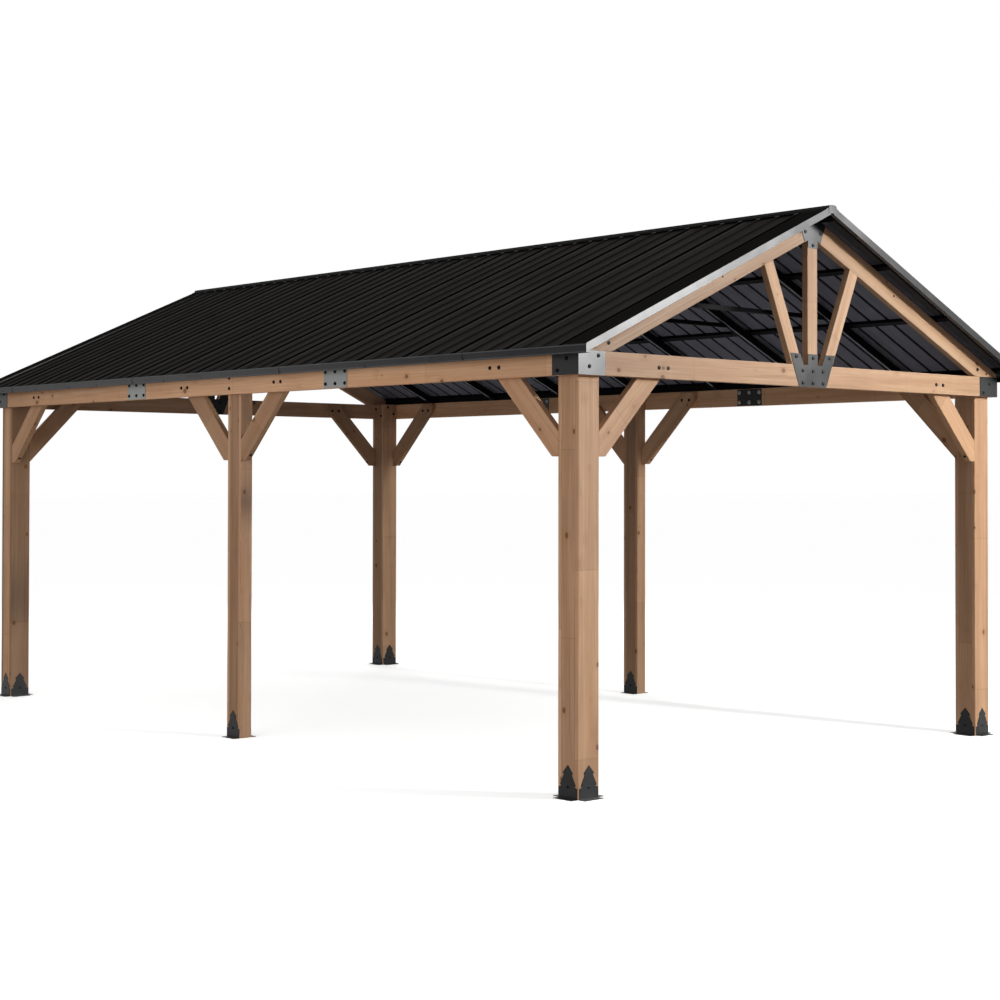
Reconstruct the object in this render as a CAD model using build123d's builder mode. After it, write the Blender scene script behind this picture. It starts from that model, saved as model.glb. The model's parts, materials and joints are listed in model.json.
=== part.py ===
from build123d import *
import math
import os

# Garden gazebo: a timber post-and-beam frame with open gables under a ribbed steel roof.
# Millimetres. X runs along the ridge, Y across it, Z up. The origin is on the ground
# under the middle of the frame. Front is -Y, right is +X.

# Frame, measured over the outer faces of the corner posts
frame_length = 5820
frame_width = 3500
beam_underside = 2040
beam_height = 118
beam_thickness = 38

# Posts: boxed corner posts, and shallower boxed posts halfway along the long sides
post_size = 140
post_wall = 24
middle_post_width = 136
middle_post_depth = 82

# Knee braces
brace_width = 118
brace_thickness = 38
brace_drop = 391
brace_toe = 46
brace_top_inset = 8

# Steel plates on the timber
plate_thickness = 3
corner_leg = 180
splice_place = 1040
splice_plate_width = 212
splice_plate_inset = 3

# Foot brackets: a stepped face plate on a ground flange with two anchor holes
foot_width = 127
foot_height = 163
foot_flange = 40
anchor_spacing = 80
anchor_radius = 5.5
anchor_place = 24
# Outline of the right half of the face plate, as shares of its half width and height
foot_outline_shares = [
    (1.00, 0.00), (1.00, 0.33), (0.70, 0.37), (0.84, 0.41), (0.42, 0.72), (0.55, 0.76), (0.00, 1.00),
]

# Gable trusses
roof_pitch = 24
rafter_depth = 113
rafter_heel = 22
king_post_width = 84
strut_width = 78
strut_place = 132
gusset_bottom_width = 236
gusset_top_width = 384
gusset_rise = 60
gusset_slot_width = 38
gusset_arm_width = 84
apex_arm = 66
apex_leg_width = 83
apex_leg_drop = 40
apex_plate_inset = 4

# Roof skin
gable_overhang = 137
eave_overhang = 85
sheet_thickness = 2
rib_pitch = 131
rib_height = 8
rib_base = 21
rib_crown = 10
ridge_gap = 12
trim_thickness = 2
eave_trim_height = 41
eave_trim_lip = 35
rake_flange = 160
rake_lip = 25
rake_drop = 6
ridge_flange = 60
ridge_roll_width = 66
ridge_roll_height = 18
# Outline of the right half of the roll, as shares of its half width and height
ridge_roll_shares = [(1.00, 0.00), (0.96, 0.50), (0.78, 0.85), (0.45, 1.00)]

# Roof steel
end_frame_inset = 600
steel_frames_each_side = 3
steel_rafter_width = 40
steel_rafter_depth = 48
top_purlin_place = 62
purlin_spacing = 570
purlin_rows = 2
purlin_width = 40
purlin_depth = 20
ridge_beam_width = 40
ridge_beam_depth = 58
tie_rise = 342
tie_depth = 25
tie_width = 30

# Sizes that follow
half_length = frame_length / 2
half_width = frame_width / 2
beam_top = beam_underside + beam_height
ring_half_length = half_length + beam_thickness
ring_half_width = half_width + beam_thickness
slope = math.tan(math.radians(roof_pitch))
upright_share = 1 / math.cos(math.radians(roof_pitch))
roof_plane = beam_top + rafter_heel + slope * ring_half_width
rafter_line = roof_plane - rafter_depth * upright_share
roof_half_length = ring_half_length + gable_overhang
roof_half_width = ring_half_width + eave_overhang
sheet_reach = roof_half_width - trim_thickness
sheet_plane = roof_plane + purlin_depth * upright_share
rib_plane = sheet_plane + (rib_height + sheet_thickness) * upright_share
rake_plane = rib_plane + trim_thickness * upright_share
rake_low = roof_plane - rake_drop * upright_share
frame_spacing = (half_length - end_frame_inset) / steel_frames_each_side
frame_places = [frame_spacing * step for step in range(-steel_frames_each_side, steel_frames_each_side + 1)]

sides = {"front": -1, "back": 1}
ends = {"left": -1, "right": 1}

os.makedirs("parts", exist_ok=True)


def on_slope(reach, intercept):
    """Height of a roof plane at a distance from the ridge line."""
    return intercept - slope * reach


# Posts
for side, across in sides.items():
    for end, along in ends.items():
        with BuildPart() as post:
            with BuildSketch():
                with Locations((along * (half_length - post_size / 2), across * (half_width - post_size / 2))):
                    Rectangle(post_size, post_size)
                    Rectangle(post_size - 2 * post_wall, post_size - 2 * post_wall, mode=Mode.SUBTRACT)
            extrude(amount=beam_top)
        post.part.label = f"post_{side}_{end}"
        export_step(post.part, f"parts/{post.part.label}.step")

    with BuildPart() as middle_post:
        with BuildSketch():
            with Locations((0, across * (half_width - middle_post_depth / 2))):
                Rectangle(middle_post_width, middle_post_depth)
                Rectangle(
                    middle_post_width - 2 * post_wall, middle_post_depth - 2 * post_wall, mode=Mode.SUBTRACT
                )
        extrude(amount=beam_top)
    middle_post.part.label = f"post_{side}_middle"
    export_step(middle_post.part, f"parts/{middle_post.part.label}.step")


# Foot brackets
def foot_bracket(face_x, face_y, facing):
    """One bracket on the post face at a point, looking along the facing direction."""
    outward = Vector(*facing)
    sideways = Vector(0, 0, 1).cross(outward)
    ground = Vector(face_x, face_y, 0)
    half = foot_width / 2
    outline = [(half * wide, foot_height * high) for wide, high in foot_outline_shares]
    mirrored = [(-across, up) for across, up in reversed(outline[:-1])]
    with BuildSketch(Plane(origin=ground, x_dir=sideways, z_dir=outward)) as face_plate:
        with BuildLine():
            Polyline(*outline, *mirrored, close=True)
        make_face()
    extrude(face_plate.sketch, amount=plate_thickness)
    with BuildSketch(Plane(origin=ground, x_dir=sideways, z_dir=(0, 0, 1))) as flange:
        with Locations((0, -foot_flange / 2)):
            Rectangle(foot_width, foot_flange)
        with Locations((anchor_spacing / 2, -anchor_place), (-anchor_spacing / 2, -anchor_place)):
            Circle(anchor_radius, mode=Mode.SUBTRACT)
    extrude(flange.sketch, amount=plate_thickness)


for side, across in sides.items():
    for end, along in ends.items():
        post_x = along * (half_length - post_size / 2)
        post_y = across * (half_width - post_size / 2)
        with BuildPart() as corner_feet:
            for step_x, step_y in ((1, 0), (-1, 0), (0, 1), (0, -1)):
                foot_bracket(
                    post_x + step_x * post_size / 2, post_y + step_y * post_size / 2, (step_x, step_y, 0)
                )
        corner_feet.part.label = f"foot_brackets_{side}_{end}"
        export_step(corner_feet.part, f"parts/{corner_feet.part.label}.step")

    with BuildPart() as middle_feet:
        foot_bracket(0, across * half_width, (0, across, 0))
        foot_bracket(0, across * (half_width - middle_post_depth), (0, -across, 0))
    middle_feet.part.label = f"foot_brackets_{side}_middle"
    export_step(middle_feet.part, f"parts/{middle_feet.part.label}.step")


# Ring beams: each long side is three lengths, spliced beside the middle post
long_beam_spans = {
    "left": (-half_length, -splice_place),
    "middle": (-splice_place, splice_place),
    "right": (splice_place, half_length),
}
for side, across in sides.items():
    for name, (start, stop) in long_beam_spans.items():
        with BuildPart() as long_beam:
            with BuildSketch(Plane.XY.offset(beam_underside)):
                with Locations(((start + stop) / 2, across * (half_width + beam_thickness / 2))):
                    Rectangle(stop - start, beam_thickness)
            extrude(amount=beam_height)
        long_beam.part.label = f"beam_{side}_{name}"
        export_step(long_beam.part, f"parts/{long_beam.part.label}.step")

for end, along in ends.items():
    with BuildPart() as gable_beam:
        with BuildSketch(Plane.XY.offset(beam_underside)):
            with Locations((along * (half_length + beam_thickness / 2), 0)):
                Rectangle(beam_thickness, 2 * ring_half_width)
        extrude(amount=beam_height)
    gable_beam.part.label = f"beam_gable_{end}"
    export_step(gable_beam.part, f"parts/{gable_beam.part.label}.step")


# Corner brackets, folded round the outside of the beams
with BuildPart() as corner_brackets:
    with BuildSketch(Plane.XY.offset(beam_underside)):
        with BuildLine():
            Polyline(
                (ring_half_length, ring_half_width),
                (ring_half_length - corner_leg, ring_half_width),
                (ring_half_length - corner_leg, ring_half_width + plate_thickness),
                (ring_half_length + plate_thickness, ring_half_width + plate_thickness),
                (ring_half_length + plate_thickness, ring_half_width - corner_leg),
                (ring_half_length, ring_half_width - corner_leg),
                close=True,
            )
        make_face()
        mirror(about=Plane.XZ)
        mirror(about=Plane.YZ)
    extrude(amount=beam_height)
corner_brackets.part.label = "corner_brackets"
export_step(corner_brackets.part, "parts/corner_brackets.step")


# Splice plates on both faces of the long beams
for side, across in sides.items():
    with BuildPart() as splice_plates:
        with BuildSketch(Plane.XY.offset(beam_underside + splice_plate_inset)):
            for face in (half_width - plate_thickness / 2, ring_half_width + plate_thickness / 2):
                with Locations((-splice_place, across * face), (splice_place, across * face)):
                    Rectangle(splice_plate_width, plate_thickness)
        extrude(amount=beam_height - 2 * splice_plate_inset)
    splice_plates.part.label = f"splice_plates_{side}"
    export_step(splice_plates.part, f"parts/{splice_plates.part.label}.step")


# Knee braces at 45 degrees, foot on the post, head lapped behind the beam
brace_foot = brace_width * math.sqrt(2) - brace_toe
brace_low = beam_underside - brace_drop
brace_high = beam_top - brace_top_inset
brace_reach = brace_toe + brace_high - brace_toe - brace_low


def brace_outline(start, direction):
    """Brace outline from a post face, running along the beam in one direction."""
    corners = [
        (0, brace_low),
        (brace_toe, brace_low),
        (brace_reach, brace_high - brace_toe),
        (brace_reach, brace_high),
        (brace_high - brace_low - brace_foot, brace_high),
        (0, brace_low + brace_foot),
    ]
    return [(start + direction * along, up) for along, up in corners]


def long_side_brace(across, start, direction):
    with BuildSketch(Plane.XZ.offset(-across * half_width)) as outline:
        with BuildLine():
            Polyline(*brace_outline(start, direction), close=True)
        make_face()
    extrude(outline.sketch, amount=across * brace_thickness)


def gable_brace(along, start, direction):
    with BuildSketch(Plane.YZ.offset(along * half_length)) as outline:
        with BuildLine():
            Polyline(*brace_outline(start, direction), close=True)
        make_face()
    extrude(outline.sketch, amount=-along * brace_thickness)


for side, across in sides.items():
    for end, along in ends.items():
        with BuildPart() as corner_braces:
            long_side_brace(across, along * (half_length - post_size), -along)
            gable_brace(along, across * (half_width - post_size), -across)
        corner_braces.part.label = f"knee_braces_{side}_{end}"
        export_step(corner_braces.part, f"parts/{corner_braces.part.label}.step")

    with BuildPart() as middle_braces:
        long_side_brace(across, middle_post_width / 2, 1)
        long_side_brace(across, -middle_post_width / 2, -1)
    middle_braces.part.label = f"knee_braces_{side}_middle"
    export_step(middle_braces.part, f"parts/{middle_braces.part.label}.step")


# Gable trusses: two rafters, a king post and two fan struts under a steel apex and gusset
rafter_corners = [
    (0, rafter_line),
    ((rafter_line - beam_top) / slope, beam_top),
    (ring_half_width, beam_top),
    (ring_half_width, on_slope(ring_half_width, roof_plane)),
    (0, roof_plane),
]
strut_half_level = strut_width / 2 * upright_share
strut_length_level = (rafter_line - beam_top - slope * strut_place) / (1 + slope * slope)
strut_head_y = strut_place + slope * strut_length_level
strut_head_z = beam_top + strut_length_level
strut_half_run = strut_width / 2 / upright_share
strut_corners = [
    (strut_place - strut_half_level, beam_top),
    (strut_place + strut_half_level, beam_top),
    (strut_head_y + strut_half_run, strut_head_z - slope * strut_half_run),
    (strut_head_y - strut_half_run, strut_head_z + slope * strut_half_run),
]
king_half = king_post_width / 2
king_corners = [
    (-king_half, beam_top),
    (king_half, beam_top),
    (king_half, on_slope(king_half, rafter_line)),
    (0, rafter_line),
    (-king_half, on_slope(king_half, rafter_line)),
]
gusset_slot_inner = king_half
gusset_half = [
    (gusset_bottom_width / 2, beam_underside),
    (gusset_top_width / 2, beam_top + gusset_rise),
    (gusset_top_width / 2 - gusset_arm_width, beam_top + gusset_rise),
    (gusset_slot_inner + gusset_slot_width, beam_top),
    (gusset_slot_inner, beam_top),
    (gusset_slot_inner, beam_top + gusset_rise),
]
apex_half = [
    (apex_leg_width / 2, on_slope(apex_leg_width / 2, rafter_line) - apex_leg_drop),
    (apex_leg_width / 2, on_slope(apex_leg_width / 2, rafter_line)),
    (apex_arm, on_slope(apex_arm, rafter_line)),
    (
        apex_arm + (rafter_depth - apex_plate_inset) * slope / upright_share,
        on_slope(apex_arm, rafter_line) + (rafter_depth - apex_plate_inset) / upright_share,
    ),
]
apex_peak = (0, roof_plane - apex_plate_inset * upright_share)


def whole_outline(half, peak=None):
    """A symmetrical outline from its right half, with an optional point on the axis."""
    middle = [peak] if peak else []
    return half + middle + [(-across, up) for across, up in reversed(half)]


for end, along in ends.items():
    inner_face = along * half_length
    outer_face = along * ring_half_length
    for side, across in sides.items():
        with BuildPart() as rafter:
            with BuildSketch(Plane.YZ.offset(inner_face)):
                with BuildLine():
                    Polyline(*[(across * out, up) for out, up in rafter_corners], close=True)
                make_face()
            extrude(amount=along * beam_thickness)
        rafter.part.label = f"gable_rafter_{end}_{side}"
        export_step(rafter.part, f"parts/{rafter.part.label}.step")

    with BuildPart() as webs:
        with BuildSketch(Plane.YZ.offset(inner_face)):
            with BuildLine():
                Polyline(*king_corners, close=True)
            make_face()
            for across in sides.values():
                with BuildLine():
                    Polyline(*[(across * out, up) for out, up in strut_corners], close=True)
                make_face()
        extrude(amount=along * beam_thickness)
    webs.part.label = f"gable_webs_{end}"
    export_step(webs.part, f"parts/{webs.part.label}.step")

    with BuildPart() as truss_plates:
        for face, outward in ((outer_face, along), (inner_face, -along)):
            with BuildSketch(Plane.YZ.offset(face)):
                with BuildLine():
                    Polyline(*whole_outline(gusset_half), close=True)
                make_face()
                with BuildLine():
                    Polyline(*whole_outline(apex_half, apex_peak), close=True)
                make_face()
            extrude(amount=outward * plate_thickness)
    truss_plates.part.label = f"truss_plates_{end}"
    export_step(truss_plates.part, f"parts/{truss_plates.part.label}.step")


# Roof sheets: a trapezoidal rib section drawn upright and drawn out along the slope
rib_count = round(2 * roof_half_length / rib_pitch)
rib_step = 2 * (roof_half_length - trim_thickness) / rib_count
rib_rise = rib_height * upright_share
sheet_upright = sheet_thickness * upright_share


def sheet_upper_line():
    points = [(-roof_half_length + trim_thickness, 0)]
    for rib in range(rib_count):
        middle = -roof_half_length + trim_thickness + (rib + 1 / 2) * rib_step
        points += [
            (middle - rib_base / 2, 0),
            (middle - rib_crown / 2, rib_rise),
            (middle + rib_crown / 2, rib_rise),
            (middle + rib_base / 2, 0),
        ]
    points.append((roof_half_length - trim_thickness, 0))
    return points


for side, across in sides.items():
    ridge_start = Plane(
        origin=(0, across * ridge_gap, on_slope(ridge_gap, sheet_plane)), x_dir=(1, 0, 0), z_dir=(0, -1, 0)
    )
    upper = [(along, up + sheet_upright) for along, up in sheet_upper_line()]
    lower = [(along, up) for along, up in reversed(sheet_upper_line())]
    with BuildPart() as sheet:
        with BuildSketch(ridge_start):
            with BuildLine():
                Polyline(*upper, *lower, close=True)
            make_face()
        extrude(amount=(sheet_reach - ridge_gap) * upright_share, dir=(0, across, -slope))
    sheet.part.label = f"roof_sheet_{side}"
    export_step(sheet.part, f"parts/{sheet.part.label}.step")

    with BuildPart() as eave_trim:
        eave_low = on_slope(roof_half_width, rib_plane) - eave_trim_height
        with BuildSketch(Plane.YZ.offset(-roof_half_length)):
            with BuildLine():
                Polyline(
                    (across * roof_half_width, eave_low),
                    (across * roof_half_width, eave_low + eave_trim_height),
                    (across * sheet_reach, eave_low + eave_trim_height),
                    (across * sheet_reach, eave_low + trim_thickness),
                    (across * (roof_half_width - eave_trim_lip), eave_low + trim_thickness),
                    (across * (roof_half_width - eave_trim_lip), eave_low),
                    close=True,
                )
            make_face()
        extrude(amount=2 * roof_half_length)
    eave_trim.part.label = f"eave_trim_{side}"
    export_step(eave_trim.part, f"parts/{eave_trim.part.label}.step")


# Rake trims: channels that close the sheet ends along both gables
trim_upright = trim_thickness * upright_share
rake_corners = [
    (roof_half_length, rake_low),
    (roof_half_length, rake_plane),
    (roof_half_length - rake_flange, rake_plane),
    (roof_half_length - rake_flange, rib_plane),
    (roof_half_length - trim_thickness, rib_plane),
    (roof_half_length - trim_thickness, rake_low + trim_upright),
    (roof_half_length - rake_lip, rake_low + trim_upright),
    (roof_half_length - rake_lip, rake_low),
]
for end, along in ends.items():
    with BuildPart() as rake_trim:
        for across in sides.values():
            drop = slope * ridge_gap
            with BuildSketch(Plane.XZ.offset(-across * ridge_gap)):
                with BuildLine():
                    Polyline(*[(along * out, up - drop) for out, up in rake_corners], close=True)
                make_face()
            extrude(amount=(sheet_reach - ridge_gap) * upright_share, dir=(0, across, -slope))
    rake_trim.part.label = f"rake_trim_{end}"
    export_step(rake_trim.part, f"parts/{rake_trim.part.label}.step")


# Ridge cap: two flanges on the rake trims and a raised roll, closed at both ends
roll_half = ridge_roll_width / 2
inner_half = roll_half - trim_thickness
roll_top = on_slope(roll_half, rake_plane) + ridge_roll_height
outer_low = on_slope(roll_half, rake_plane) + trim_upright
inner_low = on_slope(inner_half, rake_plane)
roll_upper = [(roll_half * wide, outer_low + (roll_top - outer_low) * high) for wide, high in ridge_roll_shares]
roll_lower = [
    (inner_half * wide, inner_low + (roll_top - trim_thickness - inner_low) * high)
    for wide, high in ridge_roll_shares
]
flange_reach = ridge_flange / upright_share
cap_upper = [(flange_reach, on_slope(flange_reach, rake_plane) + trim_upright), *roll_upper]
cap_lower = [(flange_reach, on_slope(flange_reach, rake_plane)), *roll_lower]
with BuildPart() as ridge_cap:
    with BuildSketch(Plane.YZ.offset(-roof_half_length)):
        with BuildLine():
            Polyline(
                *cap_upper,
                *[(-out, up) for out, up in reversed(cap_upper)],
                *[(-out, up) for out, up in cap_lower],
                *reversed(cap_lower),
                close=True,
            )
        make_face()
    extrude(amount=2 * roof_half_length)
    for end_face, outward in ((roof_half_length, 1), (-roof_half_length, -1)):
        with BuildSketch(Plane.YZ.offset(end_face)):
            with BuildLine():
                Polyline(
                    (roll_half, rake_low),
                    *roll_upper,
                    *[(-out, up) for out, up in reversed(roll_upper)],
                    (-roll_half, rake_low),
                    close=True,
                )
            make_face()
        extrude(amount=outward * trim_thickness)
ridge_cap.part.label = "ridge_cap"
export_step(ridge_cap.part, "parts/ridge_cap.step")


# Roof steel: a ridge beam, slim rafters seated on the long beams, tie bars, and flat purlins
# that lie across all the rafters and run out to the rake trims
ridge_half = ridge_beam_width / 2
ridge_beam_top = on_slope(ridge_half, roof_plane)
with BuildPart() as ridge_beam:
    with BuildSketch(Plane.XY.offset(ridge_beam_top - ridge_beam_depth)):
        Rectangle(2 * (half_length - plate_thickness), ridge_beam_width)
    extrude(amount=ridge_beam_depth)
ridge_beam.part.label = "ridge_beam"
export_step(ridge_beam.part, "parts/ridge_beam.step")

steel_line = roof_plane - steel_rafter_depth * upright_share
steel_corners = [
    (ridge_half, on_slope(ridge_half, steel_line)),
    ((steel_line - beam_top) / slope, beam_top),
    (ring_half_width, beam_top),
    (ring_half_width, on_slope(ring_half_width, roof_plane)),
    (ridge_half, on_slope(ridge_half, roof_plane)),
]
purlin_half_run = purlin_width / 2 / upright_share
purlin_places = [
    top_purlin_place,
    *[purlin_spacing * (row + 1) for row in range(purlin_rows)],
    ring_half_width - purlin_half_run,
]
eave_rail_corners = [
    (half_width, beam_top),
    (ring_half_width, beam_top),
    (ring_half_width, on_slope(ring_half_width, roof_plane)),
    (half_width, on_slope(half_width, roof_plane)),
]


def purlin_corners(place):
    """Section of a purlin square to the slope, between the rafters and the sheet."""
    lean = purlin_depth * slope / upright_share
    rise = purlin_depth / upright_share
    near = place - purlin_half_run
    far = place + purlin_half_run
    return [
        (near, on_slope(near, roof_plane)),
        (far, on_slope(far, roof_plane)),
        (far + lean, on_slope(far, roof_plane) + rise),
        (near + lean, on_slope(near, roof_plane) + rise),
    ]


bay_edges = [-half_length, *frame_places, half_length]
for side, across in sides.items():
    with BuildPart() as steel_rafters:
        for place in frame_places:
            with BuildSketch(Plane.YZ.offset(place - steel_rafter_width / 2)):
                with BuildLine():
                    Polyline(*[(across * out, up) for out, up in steel_corners], close=True)
                make_face()
            extrude(amount=steel_rafter_width)
    steel_rafters.part.label = f"steel_rafters_{side}"
    export_step(steel_rafters.part, f"parts/{steel_rafters.part.label}.step")

    with BuildPart() as purlins:
        for place in purlin_places:
            with BuildSketch(Plane.YZ.offset(trim_thickness - roof_half_length)):
                with BuildLine():
                    Polyline(*[(across * out, up) for out, up in purlin_corners(place)], close=True)
                make_face()
            extrude(amount=2 * (roof_half_length - trim_thickness))
        for bay in range(len(bay_edges) - 1):
            start = bay_edges[bay] + (steel_rafter_width / 2 if bay > 0 else 0)
            stop = bay_edges[bay + 1] - (steel_rafter_width / 2 if bay < len(bay_edges) - 2 else 0)
            with BuildSketch(Plane.YZ.offset(start)):
                with BuildLine():
                    Polyline(*[(across * out, up) for out, up in eave_rail_corners], close=True)
                make_face()
            extrude(amount=stop - start)
    purlins.part.label = f"purlins_{side}"
    export_step(purlins.part, f"parts/{purlins.part.label}.step")

tie_level = beam_top + tie_rise
tie_low_reach = (steel_line - tie_level) / slope
tie_high_reach = (steel_line - tie_level - tie_depth) / slope
with BuildPart() as tie_bars:
    for place in frame_places:
        with BuildSketch(Plane.YZ.offset(place - tie_width / 2)):
            with BuildLine():
                Polyline(
                    (-tie_low_reach, tie_level),
                    (tie_low_reach, tie_level),
                    (tie_high_reach, tie_level + tie_depth),
                    (-tie_high_reach, tie_level + tie_depth),
                    close=True,
                )
            make_face()
        extrude(amount=tie_width)
tie_bars.part.label = "tie_bars"
export_step(tie_bars.part, "parts/tie_bars.step")
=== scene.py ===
import json
import math
import random

import bmesh
import bpy
from mathutils import Matrix, Vector


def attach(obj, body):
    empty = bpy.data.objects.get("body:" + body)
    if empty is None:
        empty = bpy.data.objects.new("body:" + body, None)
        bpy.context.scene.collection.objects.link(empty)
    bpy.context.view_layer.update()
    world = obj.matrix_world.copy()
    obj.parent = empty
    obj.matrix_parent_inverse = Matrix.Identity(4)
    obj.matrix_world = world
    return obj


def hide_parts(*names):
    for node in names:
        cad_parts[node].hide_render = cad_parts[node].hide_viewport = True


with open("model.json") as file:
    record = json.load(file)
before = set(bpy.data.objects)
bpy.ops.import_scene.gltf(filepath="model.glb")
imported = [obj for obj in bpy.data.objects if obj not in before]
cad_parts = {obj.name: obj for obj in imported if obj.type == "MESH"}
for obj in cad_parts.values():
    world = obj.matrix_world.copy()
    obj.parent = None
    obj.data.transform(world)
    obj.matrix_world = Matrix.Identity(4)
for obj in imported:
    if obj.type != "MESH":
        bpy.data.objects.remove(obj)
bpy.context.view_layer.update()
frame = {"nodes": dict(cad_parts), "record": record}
nodes = frame["nodes"]
scene = bpy.context.scene
dice = random.Random(41)

# Directions: along the ridge, across it and up, and outward on the front, right, back and left
ALONG = Vector((1, 0, 0))
ACROSS = Vector((0, 1, 0))
UP = Vector((0, 0, 1))
SIDES = (-ACROSS, ALONG, ACROSS, -ALONG)

# Timber frame, in metres
HALF_LENGTH = 2.910
HALF_WIDTH = 1.750
BEAM_UNDERSIDE = 2.040
BEAM_TOP = 2.158
BOARD = 0.038
RING_LENGTH = HALF_LENGTH + BOARD
RING_WIDTH = HALF_WIDTH + BOARD
POST_SIZE = 0.140
POST_WALL = 0.024
MIDDLE_WIDTH = 0.136
MIDDLE_DEPTH = 0.082
PLATE = 0.003
SPLICE_PLACE = 1.040
BEVEL = 0.0025

# Roof: half its length and width, and sloping planes by their height at the ridge line
ROOF_LENGTH = 3.085
ROOF_WIDTH = 1.873
ROOF_PITCH = math.radians(24)
SLOPE = math.tan(ROOF_PITCH)
UPRIGHT_SHARE = 1 / math.cos(ROOF_PITCH)
RAFTER_HEEL = 0.022
PURLIN_DEPTH = 0.020
SHEET_THICKNESS = 0.002
TRIM_THICKNESS = 0.002
SHEET_LENGTH = ROOF_LENGTH - TRIM_THICKNESS
RIB_COUNT = 47
RIB_STEP = 2 * SHEET_LENGTH / RIB_COUNT
RIB_BASE = 0.021
RIB_CROWN = 0.010
RIB_HEIGHT = 0.008
ROOF_PLANE = BEAM_TOP + RAFTER_HEEL + SLOPE * RING_WIDTH
RIB_PLANE = ROOF_PLANE + (PURLIN_DEPTH + SHEET_THICKNESS + RIB_HEIGHT) * UPRIGHT_SHARE

# Closures of the ribs under the ridge cap, and on every third rib a painted shadow of the sheets' lap with
# a painted highlight beside it
RAKE_COVER = 0.165
CLOSURE_PLACE = 0.056
CLOSURE_HALF_SHARE = 0.62
CLOSURE_LENGTH = 0.016
CLOSURE_SINK = 0.0075
CLOSURE_HEIGHT = 0.0092
LAP_EVERY = 3
LAP_TOP = 0.060
LAP_FOOT = 1.868
LAP_SHADOW_WIDTH = 0.012
LAP_SKIN = 0.0008
LAP_CROWN_SKIN = 0.0006
LAP_HIGHLIGHT_WIDTH = 0.032
LAP_HIGHLIGHT_SKIN = 0.001

# Eave trim: joints between its lengths, a hem along each edge made lighter as a painted highlight, and
# screws
EAVE_TRIM_HEIGHT = 0.041
EAVE_TRIM_LOW = RIB_PLANE - SLOPE * ROOF_WIDTH - EAVE_TRIM_HEIGHT
TRIM_LENGTH = 1.58
JOINT_FIRST = 2.20
JOINT_COUNT = 4
JOINT_WIDTH = 0.0025
JOINT_DEPTH = 0.0012
HEM_RISES = (0.0005, 0.0345)
HEM_HEIGHT = 0.006
HEM_DEPTH = 0.001
HEM_INSET = 0.004
JOINT_SCREW_SHIFT = 0.011
TRIM_SCREW_PLACES = (1.41, -0.17, -0.59, -1.395, -1.75, -2.21)
TRIM_SCREW_RISE = 0.007
TRIM_SCREW_RADIUS = 0.005

# Slim steel rafters, and light strips under them as a painted highlight of their lower faces
STEEL_WIDTH = 0.040
STEEL_DEPTH = 0.048
FRAME_SPACING = 0.770
FRAMES_EACH_SIDE = 3
LIP_WIDTH = 0.009
LIP_HEIGHT = 0.004
LIP_TOP = 0.050
LIP_FOOT = 1.660

# Forms of the fasteners: rings of radius and height, as shares of the head's radius
BOLT_SHARES = ((1.12, 0), (1.12, 0.16), (1, 0.16), (0.96, 0.40), (0.74, 0.64), (0.44, 0.74), (0.40, 0.40))
WASHER_SHARES = ((1.35, 0), (1.35, 0.15), (1.2, 0.17))
NUT_SHARES = ((1, 0.15), (1, 0.82), (0.86, 0.92))
BOLT_END_SHARES = ((0.52, 0.9), (0.50, 1.15))
SCREW_SHARES = ((1, 0), (0.95, 0.3), (0.6, 0.5), (0.3, 0.5), (0.28, 0.25))
BOLT_RADIUS = 0.0095
NUT_RADIUS = 0.010
SCREW_RADIUS = 0.0055

# Places of the fasteners: a rise is measured up from the underside of the beams
# Corner brackets, from outside: right or left end of a side, distance from that end, rise
CORNER_BOLTS = ((1, 0.081, 0.079), (1, 0.145, 0.023), (-1, 0.071, 0.041), (-1, 0.132, 0.095))
SPLICE_BOLT_STEP = 0.087
SPLICE_BOLT_RISES = (0.026, 0.092)
# Middle posts: rises on the beam, place and rise on the inner face, depth and rise on the sides
MIDDLE_BEAM_RISES = (0.035, 0.097)
MIDDLE_INNER_BOLTS = ((-0.045, 0.072), (0.036, 0.028))
MIDDLE_SIDE_SCREWS = ((0.058, 0.085), (0.062, 0.035))
# Braces: the reach is measured along the beam from the face of the post
BRACE_BOLT_REACH = 0.420
BRACE_BOLT_SHIFT = 0.0335
LONG_BRACE_RISE = 0.056
GABLE_BRACE_RISE = 0.054
TOE_BOLT_REACH = 0.076
TOE_BOLT_LEVEL = 1.679
TOE_BOLT_RADIUS = 0.008
# Gable trusses: distance from the middle and rise, and for screws the radius
GUSSET_ARM_BOLTS = ((0, 0.157), (-0.144, 0.161), (0.144, 0.161))
APEX_BOLTS = ((0, 0.7697), (-0.066, 0.8397), (0.066, 0.8397))
GUSSET_BOLT_STEP = 0.088
GUSSET_BOLT_RISES = (0.021, 0.086)
RAFTER_BOLT_PLACE = 1.5825
RAFTER_BOLT_RISE = 0.160
RAFTER_SCREWS = ((0.742, 0.545, 0.006), (1.677, 0.137, 0.0065))
FOOT_SCREW_LEVEL = 0.057
FOOT_SCREW_RADIUS = 0.0075

# How light each kind of timber is, with 0 in the middle, and how strong its painted light tint is, from 0
# to 1; a node may have its own
# The lightness is partly the wood's own tone and partly painted light and shade, set board by board
TONES_AND_PAINTED_LIGHT = {
    "beam_front": (1.2, 0.1), "beam_back": (1.7, 0.0), "beam_gable": (0.0, 0.6), "knee_braces": (0.2, 0.2),
    "gable_rafter": (0.0, 1.0), "gable_webs": (0.3, 1.0),
    "knee_braces_front_middle": (-1.4, 0.2), "knee_braces_back_left": (-1.0, 0.2),
    "gable_rafter_right_front": (-0.8, 1.0),
}

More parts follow.
